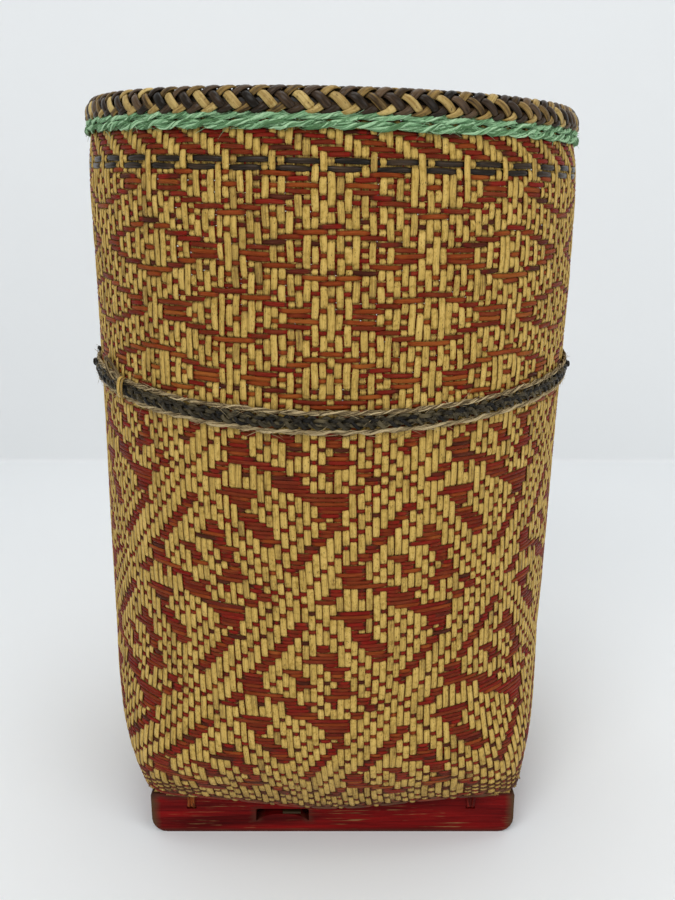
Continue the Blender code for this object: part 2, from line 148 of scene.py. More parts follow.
def tubeBand(centres, radius, sides, tone, flat=1., sideways=None):
    # a round section carried along the centres; a flat below 1 makes it oval, thin towards the wall
    centres = np.asarray(centres, float)
    along = np.gradient(centres, axis=0)
    along /= np.linalg.norm(along, axis=1, keepdims=True)
    outward = centres * [1, 1, 0] if sideways is None else np.cross(sideways, along)
    outward -= (outward * along).sum(1, keepdims=True) * along
    outward /= np.linalg.norm(outward, axis=1, keepdims=True)
    side = np.cross(along, outward)
    turn = -np.linspace(0, 2 * np.pi, sides + 1)
    radius = np.broadcast_to(radius, len(centres))[:, None, None]
    points = (centres[:, None] + radius * (np.cos(turn)[None, :, None] * outward[:, None] * flat
                                           + np.sin(turn)[None, :, None] * side[:, None]))
    points[:, -1] = points[:, 0]
    run = np.concatenate([[0], np.cumsum(np.linalg.norm(np.diff(centres, axis=0), axis=1))])
    lay = layOut(run[:, None], np.abs(turn)[None, :] * radius.mean(), tone * tubeLayer)
    return points, lay, np.full(points.shape[:2], tone)


def tubeRing(path, radius, sides, tone, **shape):
    # a tube whose end meets its start
    path[-1] = path[0]
    points, lay, tones = tubeBand(path, radius, sides, tone, **shape)
    points[-1] = points[0]
    return points, lay, tones


# materials

def addNode(tree, kind, **values):
    # a value is a setting of the node or goes to an input, by its name or as i0, i1 and on by its number
    made = tree.nodes.new("ShaderNode" + kind)
    for key, value in values.items():
        name = key.replace("_", " ")
        if hasattr(made, key):
            setattr(made, key, value)
        else:
            spot = made.inputs[int(key[1:])] if key[0] == "i" and key[1:].isdigit() else made.inputs[name]
            if isinstance(value, bpy.types.NodeSocket):
                tree.links.new(value, spot)
            else:
                spot.default_value = value
    return made


def ramp(tree, fac, *stops):
    made = addNode(tree, "ValToRGB", Fac=fac)
    bar = made.color_ramp.elements
    while len(bar) < len(stops):
        bar.new(.5)
    for stop, (place, colour) in zip(bar, stops):
        stop.position, stop.color = place, (*colour, 1)
    return made.outputs["Color"]


def blend(tree, fac, first, second, kind="MIX"):
    made = tree.nodes.new("ShaderNodeMix")
    made.data_type, made.blend_type = "RGBA", kind
    for spot, value in ((0, fac), (6, first), (7, second)):
        if isinstance(value, bpy.types.NodeSocket):
            tree.links.new(value, made.inputs[spot])
        else:
            made.inputs[spot].default_value = value if spot == 0 else (*value, 1)
    return made.outputs[2]


def sums(tree, kind, first, second=0., third=0.):
    made = addNode(tree, "Math", operation=kind, i0=first, i1=second)
    if kind == "MULTIPLY_ADD":
        made.inputs[2].default_value = third
    return made.outputs[0]


def spread(tree, value, low, high, toLow=0., toHigh=1.):
    return addNode(tree, "MapRange", Value=value, i1=low, i2=high, i3=toLow, i4=toHigh).outputs[0]


def noise(tree, place, scale, stretch=None, **detail):
    if stretch:
        place = addNode(tree, "Mapping", Vector=place, Scale=stretch).outputs[0]
    return addNode(tree, "TexNoise", Vector=place, Scale=scale, **detail).outputs[0]


def newGroup(name, inputs, outputs):
    group = bpy.data.node_groups.new(name, "ShaderNodeTree")
    for socketName, kind, start in inputs:
        made = group.interface.new_socket(socketName, in_out="INPUT", socket_type="NodeSocket" + kind)
        if start is not None:
            made.default_value = start
    for socketName, kind in outputs:
        group.interface.new_socket(socketName, in_out="OUTPUT", socket_type="NodeSocket" + kind)
    return group, group.nodes.new("NodeGroupInput").outputs, group.nodes.new("NodeGroupOutput").inputs


def newMaterial(name):
    material = bpy.data.materials.new(name)
    material.use_nodes = True
    return material, material.node_tree.nodes["Principled BSDF"]


splint = dict(
    fibreStretch=(.055, 1, 1), fibreShare=(1.1, -.35),
    blotScale=60., blotShare=.6, toneShare=(.9, -.45),
    darkRange=(.2, .5), lightRange=(.5, .85),
    dotStretch=(.45, 1, 1), dotScale=1500., dotRange=(.64, .72), dotColour=(.035, .022, .01),
    stainScale=430., stainRange=(.50, .66), stainColour=(.60, .54, .36),
    # painted shade along each splint's long edges, for the shade in the gaps between splints
    edgeShadeRange=(.78, 1., 0., .8), edgeShadeColour=(.22, .14, .08),
    roughRange=(.2, .8, .58, .36), bumpDepth=.0002,
    dyeShade=(.50, .42, .40), dyeLift=(1., .40, .15), liftShare=.10,
)


def splintGroup():
    # long fibres, blots, stains and pores, a tone for each splint, and painted shade along the long edges
    white = (1, 1, 1, 1)
    group, given, wanted = newGroup(
        "splint fibres",
        [("Lay", "Vector", None), ("Tone", "Float", .5),
         ("Light", "Color", white), ("Middle", "Color", white), ("Dark", "Color", white),
         ("Fibre scale", "Float", 900.), ("Specks", "Float", .3), ("Half width", "Float", 1.)],
        [("Color", "Color"), ("Roughness", "Float"), ("Height", "Float")])
    lay = given["Lay"]
    fibres = noise(group, lay, given["Fibre scale"], splint["fibreStretch"], Detail=4., Roughness=.65)
    blots = noise(group, lay, splint["blotScale"], Detail=3.)
    dots = noise(group, lay, splint["dotScale"], splint["dotStretch"], Detail=1.)
    stains = noise(group, lay, splint["stainScale"], Detail=3., Roughness=.6)
    mixed = sums(group, "ADD", sums(group, "MULTIPLY_ADD", fibres, *splint["fibreShare"]),
                 sums(group, "MULTIPLY", blots, splint["blotShare"]))
    mixed = sums(group, "ADD", mixed, sums(group, "MULTIPLY_ADD", given["Tone"], *splint["toneShare"]))
    colour = blend(group, spread(group, mixed, *splint["darkRange"]), given["Dark"], given["Middle"])
    colour = blend(group, spread(group, mixed, *splint["lightRange"]), colour, given["Light"])
    stain = sums(group, "MULTIPLY", spread(group, stains, *splint["stainRange"]), given["Specks"])
    colour = blend(group, stain, colour, splint["stainColour"], "MULTIPLY")
    speck = sums(group, "MULTIPLY", spread(group, dots, *splint["dotRange"]), given["Specks"])
    colour = blend(group, speck, colour, splint["dotColour"])
    # painted shade: darker towards a splint's long edges, where shade falls between neighbouring splints
    aside = sums(group, "ABSOLUTE", addNode(group, "SeparateXYZ", i0=lay).outputs[1])
    edge = spread(group, sums(group, "DIVIDE", aside, given["Half width"]), *splint["edgeShadeRange"])
    colour = blend(group, edge, colour, splint["edgeShadeColour"], "MULTIPLY")
    group.links.new(colour, wanted["Color"])
    group.links.new(spread(group, fibres, *splint["roughRange"]), wanted["Roughness"])
    group.links.new(sums(group, "SUBTRACT", fibres, speck), wanted["Height"])
    return group


splintFibres = splintGroup()
# browner towards the foot: dust, and a painted veil of reflected light
footDustAndVeil = dict(cleanAt=.062, thickAt=.020, cloudScale=90., cloudRange=(.35, .6, .4, 1.),
                colour=(.21, .12, .07))


def splintMaterial(name, fibreScale, specks, specular, colours=None, dyes=None, halfWidth=1., roughness=None,
                   bump=.35, dustAndVeil=0., sheen=0.):
    # colours are light, middle and dark; dyes are a ramp's stops, and the tone picks each float's dye
    material, shader = newMaterial(name)
    tree = material.node_tree
    tone = addNode(tree, "Attribute", attribute_name="tone").outputs["Fac"]
    fibre = tree.nodes.new("ShaderNodeGroup")
    fibre.node_tree = splintFibres
    tree.links.new(addNode(tree, "Attribute", attribute_name="lay").outputs["Vector"], fibre.inputs["Lay"])
    if dyes:
        dye = ramp(tree, tone, *dyes)
        lifted = blend(tree, splint["liftShare"], dye, splint["dyeLift"], "SCREEN")
        shaded = blend(tree, 1., dye, splint["dyeShade"], "MULTIPLY")
        for key, colour in zip(("Light", "Middle", "Dark"), (lifted, dye, shaded)):
            tree.links.new(colour, fibre.inputs[key])
    else:
        tree.links.new(tone, fibre.inputs["Tone"])
        for key, colour in zip(("Light", "Middle", "Dark"), colours):
            fibre.inputs[key].default_value = (*colour, 1)
    fibre.inputs["Fibre scale"].default_value = fibreScale
    fibre.inputs["Specks"].default_value = specks
    fibre.inputs["Half width"].default_value = halfWidth
    colour = fibre.outputs["Color"]
    if dustAndVeil:
        # the foot of the basket is browner: dust, and a painted veil of reflected light
        place = addNode(tree, "TexCoord").outputs["Object"]
        height = addNode(tree, "SeparateXYZ", i0=place).outputs[2]
        low = spread(tree, height, footDustAndVeil["cleanAt"], footDustAndVeil["thickAt"], 0., dustAndVeil)
        cloud = spread(tree, noise(tree, place, footDustAndVeil["cloudScale"], Detail=3.), *footDustAndVeil["cloudRange"])
        colour = blend(tree, sums(tree, "MULTIPLY", low, cloud), colour, footDustAndVeil["colour"])
    tree.links.new(colour, shader.inputs["Base Color"])
    if roughness is None:
        tree.links.new(fibre.outputs["Roughness"], shader.inputs["Roughness"])
    else:
        shader.inputs["Roughness"].default_value = roughness
    shader.inputs["Specular IOR Level"].default_value = specular
    shader.inputs["Sheen Weight"].default_value = sheen
    rise = addNode(tree, "Bump", Height=fibre.outputs["Height"], Strength=bump, Distance=splint["bumpDepth"])
    tree.links.new(rise.outputs[0], shader.inputs["Normal"])
    return material


# from nearly black over crimson and brick red to orange
redDyes = [(0., (.055, .015, .007)), (.15, (.225, .009, .005)), (.4, (.150, .019, .006)),
           (.7, (.245, .043, .007)), (1., (.31, .085, .014))]
straw = splintMaterial("straw splint", 1500., .75, .10, halfWidth=.00171, dustAndVeil=.35,
                       colours=[(.72, .495, .150), (.545, .360, .088), (.22, .130, .036)])
redSplint = splintMaterial("red-dyed splint", 2600., .25, .06, halfWidth=.00110, dustAndVeil=.4, sheen=.01,
                           dyes=redDyes)
tieSplint = splintMaterial("tie splint", 2600., .2, .10, halfWidth=.0030, dyes=redDyes)
darkRattan = splintMaterial("dark rattan", 1500., .1, .16, roughness=.28,
                            colours=[(.115, .070, .036), (.040, .023, .012), (.010, .007, .004)])
goldRattan = splintMaterial("gold rattan", 1250., .7, .15, roughness=.40,
                            colours=[(.56, .41, .15), (.29, .18, .052), (.040, .022, .008)])
greenRaffia = splintMaterial("green raffia", 2400., 0., .12, roughness=.5,
                             colours=[(.47, .70, .43), (.21, .40, .205), (.08, .17, .07)])
greyCord = splintMaterial("plain cord", 2400., .1, .08, roughness=.7,
                          colours=[(.58, .46, .26), (.33, .245, .125), (.09, .060, .030)])
blackSplint = splintMaterial("black belt splint", 2600., .1, .18, roughness=.30, bump=.6,
                             colours=[(.105, .082, .040), (.030, .023, .012), (.004, .003, .002)])
print("materials made")

# the weave

weave = dict(
    stakes=228, stakeWidth=.00340, weftWidth=.00205, thickness=.00042, crown=.00024,
    mid=-.00095, play=.00046,                        # the middle layer, and how far splints swing about it
    radius=.1317,                                    # turns widths into angles
    stakeFrom=.0195, stakeTo=.3784,
    footFrom=.0200, footRows=7, footTop=.0300, lowerRows=103, lowerTop=.2385, upperRows=47, upperTop=.3535,
    darkRows=(.3556, .3589), crimsonRows=(.3617, .3639, .3665, .3688, .3707),
    hiddenRows=(.3730, .3752, .3772),                # under the green cords
    cornerHeight=.025, cornerHalf=.2,                # where the foot is woven as plain check
    # height, how many stakes they lean over to the right, how they crowd towards the corners
    drift=[(.018, 1.7, -.05), (.030, 1.7, .035), (.041, 1.67, .075), (.056, 1.6, .095), (.085, 1.45, .085),
           (.105, 1.3, .05), (.150, .9, .025), (.175, .5, 0), (.210, .1, -.02), (.250, 0, -.02),
           (.300, 0, 0)],
)
rowHeights = np.concatenate([
    np.linspace(weave["footFrom"], weave["footTop"], weave["footRows"]),
    np.linspace(weave["footTop"], weave["lowerTop"], weave["lowerRows"] + 1)[1:],
    np.linspace(weave["lowerTop"], weave["upperTop"], weave["upperRows"] + 1)[1:],
    weave["darkRows"], weave["crimsonRows"], weave["hiddenRows"]])
rowCount, stakeCount = len(rowHeights), weave["stakes"]
darkFrom = weave["footRows"] + weave["lowerRows"] + weave["upperRows"]
crimsonFrom = darkFrom + len(weave["darkRows"])
hiddenFrom = crimsonFrom + len(weave["crimsonRows"])
stakeNumber = np.arange(stakeCount) - stakeCount // 2


def stakeTurn(number, height):
    heights, lean, crowd = np.array(weave["drift"]).T
    turn = 2 * np.pi * (number + np.interp(height, heights, lean)) / stakeCount
    return turn - np.interp(height, heights, crowd) / 4 * np.sin(4 * turn)


# one motif of the lower field, counted in stakes and rows from the middle of its large lozenge
cell = dict(
    # motifs stand 30 stakes and 30 rows apart, and every second level is half a pitch aside
    pitch=30, levels=range(121, -59, -30), levelShift=91, firstStake=-6, waist=7,
    skipped=6, skipFrom=42, skipTo=114,              # the back has 228 stakes for 240 of the draft
    # the red floats as boxes: first and last stake, lowest and highest row
    boxes=[(3, 8, 3, 3), (3, 8, 2, 2), (4, 8, 1, 1), (5, 7, 0, 0), (5, 7, -1, -1), (5, 6, -3, -2),
           (1, 3, 4, 4), (-8, -4, 3, 3), (-8, -5, 2, 2), (-7, -5, 0, 1), (-6, -5, -3, -1),
           (-5, -4, -5, -4), (-4, -1, -6, -6), (-4, -2, -7, -7), (-3, -2, -10, -8), (-1, 2, 5, 7),
           (-1, 0, 8, 8), (2, 3, 8, 8), (-7, -5, 12, 14), (-7, -5, 11, 11), (-7, -3, 10, 10),
           (-9, -8, 8, 9), (-3, -1, 9, 9), (-10, -9, 6, 7),
           (4, 5, 22, 24), (3, 6, 21, 21), (2, 6, 20, 20), (5, 7, 18, 18), (6, 7, 15, 17), (7, 8, 12, 14),
           (6, 9, 11, 11), (5, 8, 10, 10), (10, 11, 8, 9), (11, 12, 6, 7), (9, 10, 4, 5), (0, 1, 16, 17),
           (1, 2, 13, 14)],
    # stepped lines: rise (2 leans right, -2 left), offset, first and last stake, lowest and highest row
    lines=[(2, -17.5, 1, 8, -17, -4), (2, 26.5, -6, 3, 15, 30)], lineHalf=2, lineClear=3,
    lozenges=[(-5, 6), (7, 6)], lozengeFlat=.8, lozengeHalf=3.6,
    squares=[(-5, 16), (-4, 13), (-3, 6), (3, 6), (6, -3), (-5, -2), (6, 14)],
    bits=[(-5, 8), (-5, 7), (-5, 5), (6, 8), (6, 7), (6, 5), (4, 7), (8, 6), (2, 10)],
)


def nearestMotif(centres, width, tall, waist=0):
    # how far each crossing lies across and up from the motif that is nearest to it
    near = np.full((rowCount, stakeCount), 9.)
    across, up = np.zeros_like(near), np.zeros_like(near)
    for toSide, above in centres:
        far = abs(toSide) / width + abs(above - waist) / tall
        across, up = np.where(far < near, toSide, across), np.where(far < near, above, up)
        near = np.minimum(near, far)
    return across, up


def lowerDraft(row, stake):
    # a stake goes over four wefts and under one, two rows further on at each stake
    pitch, half = cell["pitch"], cell["pitch"] // 2
    skip = smoothStep(abs(stake), cell["skipFrom"], cell["skipTo"])
    spot = np.round(stake + cell["skipped"] * np.sign(stake) * skip)
    centres = []
    for level in cell["levels"]:
        middle = cell["firstStake"] + (half if (cell["levelShift"] - level) // pitch % 2 else 0)
        toSide = (spot - middle + half) % pitch - half + 0 * row
        centres.append((toSide, row - level + 0 * toSide))
    across, up = nearestMotif(centres, half, pitch, cell["waist"])
    ground = (up + 2 * abs(across) * np.where(up > cell["waist"], 1, -1) + 1) % 5 == 0
    figure = np.zeros_like(ground)
    for left, right, bottom, top in cell["boxes"]:
        figure |= (across >= left) & (across <= right) & (up >= bottom) & (up <= top)
    for rise, offset, left, right, bottom, top in cell["lines"]:
        lean = abs(up - rise * across - offset)
        stretch = (across >= left) & (across <= right) & (up >= bottom) & (up <= top)
        ground &= ~(stretch & (lean < cell["lineClear"]))
        figure |= stretch & (lean < cell["lineHalf"])
    for x, y in cell["lozenges"]:
        ground &= ~(abs(across - x) + abs(up - y) * cell["lozengeFlat"] < cell["lozengeHalf"])
    for x, y in cell["bits"]:
        ground |= (across == x) & (up == y)
    kept = np.zeros_like(ground)
    for x, y in cell["squares"]:
        kept |= (across == x) & (up == y)
    weft = (ground | figure) & ~kept
    # no stake shows for one weft alone: the lone weft beside it gives way
    for again in range(2):
        above, below = np.roll(weft, -1, 0), np.roll(weft, 1, 0)
        single = weft & ~above & ~below
        short = ~weft & above & below & ~kept
        beside = np.roll(short, 1, 0) | np.roll(short, -1, 0)
        weft = (weft & ~(single & beside)) | (short & ~np.roll(single, 1, 0) & ~np.roll(single, -1, 0))
    return weft


# the upper field has wider steps, and crosses of two stacks with four arms, in draft stakes and millimetres
crosses = dict(
    draftStakes=216, width=24, tall=57, middles=((0, 348), (12, 319.5)),
    stackAt=3.5, stackHalf=1.6, stackTall=4, armFrom=4, armLift=3, armRise=1.15, armHalf=1.8,
    rowPitch=2.45, stakePitch=1.0556,
)


def upperDraft(stake):
    k = stake * (crosses["draftStakes"] / stakeCount)
    z = rowHeights[:, None] * 1000
    halfWide, halfTall = crosses["width"] / 2, crosses["tall"] / 2
    figure = np.zeros((rowCount, stakeCount), bool)
    centres = []
    for middle, level in crosses["middles"]:
        dx = (k - middle + halfWide) % crosses["width"] - halfWide + 0 * z
        dz = (z - level + halfTall) % crosses["tall"] - halfTall + 0 * dx
        centres.append((dx, dz))
        isStack = abs(abs(dx) - crosses["stackAt"]) < crosses["stackHalf"]
        figure |= isStack & (abs(dz) < crosses["stackTall"])
        for lift in (-1, 1):
            arm = lift * dz - crosses["armLift"] - (abs(dx) - crosses["armFrom"]) * crosses["armRise"]
            figure |= (abs(arm) < crosses["armHalf"]) & (abs(dx) > crosses["armFrom"])
    across, up = nearestMotif(centres, halfWide, halfTall)
    rows = np.round(up / crosses["rowPitch"]) * np.sign(up)
    ground = (rows + 2 * np.round(abs(across) * crosses["stakePitch"]) + 1) % 5 == 0
    return ground | figure


def weaveDraft():
    # over[row, stake] is True where the red weft lies over the stake
    row, stake = np.arange(rowCount)[:, None], stakeNumber[None, :]
    isUpper = rowHeights[:, None] > weave["lowerTop"]
    over = np.where(isUpper, upperDraft(stake), lowerDraft(row, stake))
    # the foot has shorter bricks, plain check at its corners, and two lowest rows that are mostly weft
    fromCorner = abs((abs(stakeTurn(stake, weave["cornerHeight"])) % (np.pi / 2)) - np.pi / 4)
    foot = np.where(fromCorner < weave["cornerHalf"], (row + stake) % 2 == 0, (row + 2 * stake) % 5 == 0)
    over = np.where(row < weave["footRows"], foot, over)
    over = np.where(row < 2, (stake + row) % np.where(row < 1, 6, 3) > 0, over)
    # dark wefts go over four and under two, crimson ones over three and under three, hidden ones are check
    for step in range(crimsonFrom - darkFrom):
        over[darkFrom + step] = (stakeNumber - step) % 6 < 4
    for step in range(hiddenFrom - crimsonFrom):
        over[crimsonFrom + step] = (stakeNumber + step) % 6 < 3
    over[hiddenFrom:] = (row[hiddenFrom:] + stake) % 2 == 0
    return over


redOver = weaveDraft()

# a float's rise at its ends, shoulders and top, and how far the shoulders stand in from the ends
floats = dict(end=.35, shoulder=1.05, top=1.3, nip=.38, single=(.45, 1, .45), endsBelow=.5, topsAbove=1.1)


def floatStations(onTop, places, reach, longest=4):
    # where a splint bends: it dips at both ends of a float and rises between them
    ends = np.flatnonzero(np.diff(onTop.astype(int)))
    firsts, lasts = np.concatenate([[0], ends + 1]), np.concatenate([ends, [len(onTop) - 1]])
    steps = np.gradient(places)
    where, rise = [], []
    for first, last in zip(firsts, lasts):
        start, stop = places[first] - reach * steps[first], places[last] + reach * steps[last]
        if not onTop[first]:
            count = 2 + (last - first) // longest
            where += list(np.linspace(start, stop, count))
            rise += [-1] * count
        elif last == first:
            where += [start, (start + stop) / 2, stop]
            rise += floats["single"]
        else:
            nip = floats["nip"] * steps[first]
            count = 1 + (last - first) // longest
            where += [start, start + nip, *np.linspace(start, stop, count + 2)[1:-1], stop - nip, stop]
            rise += [floats["end"], floats["shoulder"]] + [floats["top"]] * count
            rise += [floats["shoulder"], floats["end"]]
    return np.array(where), np.array(rise, float)


def floatEnds(rise):
    return (rise > 0) & (rise < floats["endsBelow"])


def patches(size, count, each):
    # a few neighbouring bends share a shade
    return np.repeat(dice.normal(0, size, count // each + 1), each)[:count]


def shares(bands, count):
    return [bands[number * len(bands) // count:(number + 1) * len(bands) // count] for number in range(count)]


stakes = dict(
    pieces=6, reach=.46, sway=(.00012, .00018), swayWave=60, widthSpread=.045, slant=.00005,
    # painted shade: a stake is darker at a float's ends, where it dips under a weft
    swayStep=1.7, topWidth=1.03, endWidth=.74, tone=(.54, .05), toneLimits=(.1, .9), patchy=.05, paintedEndShade=.24,
    layer=.31,
    # the looser upper part leans and varies more
    looseFrom=.23, looseTo=.26, looseSway=.00024, looseWave=330, narrower=.05, uneven=.07, widthWave=150,
)


def stakePieces():
    sway = dice.normal(0, 1, (stakeCount, 2)) * stakes["sway"]
    widths = weave["stakeWidth"] * (1 + dice.normal(0, stakes["widthSpread"], stakeCount))
    tones = np.clip(dice.normal(*stakes["tone"], stakeCount), *stakes["toneLimits"])
    bands = []
    for stake in range(stakeCount):
        heights, rise = floatStations(~redOver[:, stake], rowHeights, stakes["reach"])
        heights = np.concatenate([[weave["stakeFrom"]], heights, [weave["stakeTo"]]])
        rise = np.concatenate([rise[:1], rise, rise[-1:]])
        loose = smoothStep(heights, stakes["looseFrom"], stakes["looseTo"])
        phase = anyPhase(2)
        wave = np.sin(heights * stakes["swayWave"] + stake * stakes["swayStep"])
        bend = sway[stake, 0] + sway[stake, 1] * wave
        bend = bend + loose * stakes["looseSway"] * np.sin(heights * stakes["looseWave"] + phase[0])
        angle = stakeTurn(stakeNumber[stake], heights) + bend / weave["radius"]
        # a float spreads a little in its middle and is nipped at its ends
        atEnd = floatEnds(rise)
        isTop = rise > floats["topsAbove"]
        width = widths[stake] * np.where(isTop, stakes["topWidth"], np.where(atEnd, stakes["endWidth"], 1.))
        wave = np.sin(heights * stakes["widthWave"] + phase[1])
        width = width * (1 - loose * (stakes["narrower"] + stakes["uneven"] * wave))
        across = np.array([-.5, 0, .5])[None, :] * width[:, None]
        slant = dice.normal(0, stakes["slant"])
        crown = np.array([-slant, weave["crown"], slant])[None, :]
        out = weave["mid"] + rise[:, None] * weave["play"] + crown + weave["thickness"] / 2
        points = wallPoint(angle[:, None] + across / weave["radius"], heights[:, None], out)
        # painted shade: the ends of each float are darker, where the splint dips under the crossing weft
        shade = tones[stake] + patches(stakes["patchy"], len(heights), 5) - stakes["paintedEndShade"] * atEnd
        bands.append((points, layOut(heights[:, None], across, stake * stakes["layer"]), shade[:, None]))
    for number, part in enumerate(shares(bands, stakes["pieces"])):
        piece = bandsToMesh("stakes_%d" % (number + 1), part, straw, weave["thickness"])
        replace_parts(piece, "body_wall")


wefts = dict(
    pieces=5, reach=.32, fill=.97, widthSpread=.04, upperFill=.95, upperWidth=.0021, darkWidth=.0026,
    wave=.00016, waves=(2, 7), askew=.00020, askewWaves=(25, 60),
    # painted shade: a weft is darker at a float's ends and where it runs under the stakes
    endWidth=.8, paintedEndShade=.25, paintedUnderShade=.5, layer=.37, darkThickness=1.5,
    # the tones of the dye and how common each is, then those of the rows that have only one
    tones=(.12, .4, .68, .9), upperShares=(.25, .3, .3, .15), lowerShares=(.20, .56, .24, 0),
    darkTone=.33, crimsonTone=.36, footTone=.06, patchy=.09, crimsonPatchy=.16,
)


def weftPieces():
    redBands, darkBands = [], []
    pitches = np.diff(rowHeights)
    for row in range(rowCount):
        isUpper, isDark = rowHeights[row] > weave["lowerTop"], darkFrom <= row < crimsonFrom
        onTop = redOver[row]
        turn = stakeTurn(stakeNumber, rowHeights[row])
        # begin where a float begins, so that the ring closes between two floats
        first = int(np.flatnonzero(onTop & ~np.roll(onTop, 1))[0])
        turn = np.unwrap(np.roll(turn, -first))
        angle, rise = floatStations(np.roll(onTop, -first), turn, wefts["reach"], 3)
        angle, rise = np.append(angle, angle[0] + 2 * np.pi), np.append(rise, rise[0])
        wave = np.sin(angle * int(dice.integers(*wefts["waves"])) + anyPhase())
        height = rowHeights[row] + wefts["wave"] * wave
        if isUpper:
            # the loose upper wefts lie slightly askew
            wave = np.sin(angle * int(dice.integers(*wefts["askewWaves"])) + anyPhase())
            height = height + wefts["askew"] * wave
        height[-1] = height[0]
        pitch = min(pitches[max(row - 1, 0)], pitches[min(row, rowCount - 2)])
        width = min(weave["weftWidth"], pitch * wefts["fill"]) * (1 + dice.normal(0, wefts["widthSpread"]))
        if isUpper:
            width = min(pitch * wefts["upperFill"], wefts["upperWidth"])
        if isDark:
            width = wefts["darkWidth"]
        atEnd = floatEnds(rise)
        across = np.array([.5, 0, -.5])[None, :] * width * np.where(atEnd, wefts["endWidth"], 1.)[:, None]
        crown = np.array([0, weave["crown"], 0])[None, :]
        out = weave["mid"] + rise[:, None] * weave["play"] + crown + weave["thickness"] / 2
        points = wallPoint(angle[:, None], height[:, None] + across, out)
        points[-1] = points[0]
        # every float has its own shade of the dye
        base = dice.choice(wefts["tones"], p=wefts["upperShares"] if isUpper else wefts["lowerShares"])
        if darkFrom <= row:
            base = wefts["darkTone"] if isDark else wefts["crimsonTone"]
        if row < weave["footRows"] + 2:
            base = wefts["footTone"]
        patchy = wefts["crimsonPatchy"] if crimsonFrom <= row else wefts["patchy"]
        shades = base + patches(patchy, len(angle), 4)
        # painted shade: darker where the weft runs under the stakes, seen in the gaps between them, and
        # darker at a float's ends
        shades = np.where(rise < 0, shades * wefts["paintedUnderShade"], shades - wefts["paintedEndShade"] * atEnd)
        shades[-1] = shades[0]
        lay = layOut((angle * weave["radius"])[:, None], across, row * wefts["layer"])
        (darkBands if isDark else redBands).append((points, lay, np.clip(shades, .01, .99)[:, None]))
    for number, part in enumerate(shares(redBands, wefts["pieces"])):
        piece = bandsToMesh("wefts_%d" % (number + 1), part, redSplint, weave["thickness"],
                            closeAlong=True)
        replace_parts(piece, "body_wall")
    piece = bandsToMesh("dark_wefts", darkBands, darkRattan,
                        weave["thickness"] * wefts["darkThickness"], closeAlong=True)
    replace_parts(piece, "dark_weft_upper", "dark_weft_lower")


stakePieces()
weftPieces()
print("weave of", stakeCount, "stakes and", rowCount, "wefts")

# the plaited rim

rim = dict(
    # the arch over the wall's upper edge; sweep is in degrees, and archLength goes from edge to edge
    radius=.1264, low=.3798, halfWidth=.0052, rise=.0084, fall=.0026, start=-42, sweep=264, archLength=.030,
    strands=106, width=.0031, thickness=.0006, bury=.0017, above=.0009, hump=.4, cup=.0005,
    # rows of strands: start and end across the arch, their lean along the rim in strand pitches
    courses=[(-.02, .21, 1.2), (.37, .13, 1.2), (.30, .54, 1.2), (.70, .46, 1.2), (.63, .87, 1.2),
             (1.02, .79, 1.2)],
    goldFirst=(1, 2, 5),                             # the courses that begin with a gold strand
    alongSpread=.0010, overSpread=.006, widthSpread=.05, endWidth=.88, swell=.12, tone=(.5, .2), layer=.7,
    coreOut=-.0011, coreThickness=.0008, coreTone=.1,
)


def archPoint(angle, over, out=0.):
    # over runs from 0 at the outer lower edge, across the top, to 1 at the inner lower edge
    turn = np.radians(rim["start"] + rim["sweep"] * np.asarray(over))
    rising = np.where(np.sin(turn) > 0, rim["rise"], rim["fall"])
    reach = rim["radius"] + (rim["halfWidth"] + out) * np.cos(turn)
    height = rim["low"] + (rising + out) * np.sin(turn)
    x = reach * np.sin(angle)
    return np.stack(np.broadcast_arrays(x, -reach * np.cos(angle), height - wall["tilt"] * x), -1)


def rimStrand(course, number):
    begin, end, lean = rim["courses"][course]
    pitch = 2 * np.pi / rim["strands"]
    t = np.linspace(0, 1, 8)
    across = np.array([-.5, -.25, 0, .25, .5])
    middle = (number + .5 * (course % 2)) * pitch
    angle = middle + (t - .5) * lean * pitch + dice.normal(0, rim["alongSpread"])
    over = begin + (end - begin) * t + dice.normal(0, rim["overSpread"])
    slopeAlong, slopeOver = lean * pitch * rim["radius"], (end - begin) * rim["archLength"]
    length = math.hypot(slopeAlong, slopeOver)
    sideAlong, sideOver = -slopeOver / length, slopeAlong / length
    width = rim["width"] * (1 + dice.normal(0, rim["widthSpread"]))
    offset = across[None, :] * width * (rim["endWidth"] + rim["swell"] * np.sin(np.pi * t))[:, None]
    hump = np.maximum(np.sin(np.pi * t), 0) ** rim["hump"]
    out = -rim["bury"] + (rim["bury"] + rim["above"]) * hump[:, None]
    out = out - rim["cup"] * (2 * across[None, :]) ** 2
    points = archPoint(angle[:, None] + offset * sideAlong / rim["radius"],
                       over[:, None] + offset * sideOver / rim["archLength"], out)
    lay = layOut((t * length)[:, None], offset, number * rim["layer"] + course)
    return points, lay, np.clip(dice.normal(*rim["tone"]), 0, 1)


def rimPieces():
    gold, dark = [], []
    for course in range(len(rim["courses"])):
        for number in range(rim["strands"]):
            isGold = (number + (course in rim["goldFirst"])) % 2
            (gold if isGold else dark).append(rimStrand(course, number))
    for name, bands, material in (("rim_strands_gold", gold, goldRattan),
                                  ("rim_strands_dark", dark, darkRattan)):
        piece = bandsToMesh(name, bands, material, rim["thickness"])
        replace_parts(piece, "rim_braid")
    # a dark core under the strands
    turn = np.linspace(0, 2 * np.pi, 145)
    over = np.linspace(0, 1, 13)
    points = archPoint(turn[:, None], over[None, :], rim["coreOut"])
    points[-1] = points[0]
    lay = layOut((turn * rim["radius"])[:, None], over[None, :] * rim["archLength"], 0.)
    core = bandsToMesh("rim_core", [(points[:, ::-1], lay, rim["coreTone"])], darkRattan,
                       rim["coreThickness"], closeAlong=True)
    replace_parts(core, "rim_braid")


rimPieces()
print("rim plaited")

# cords

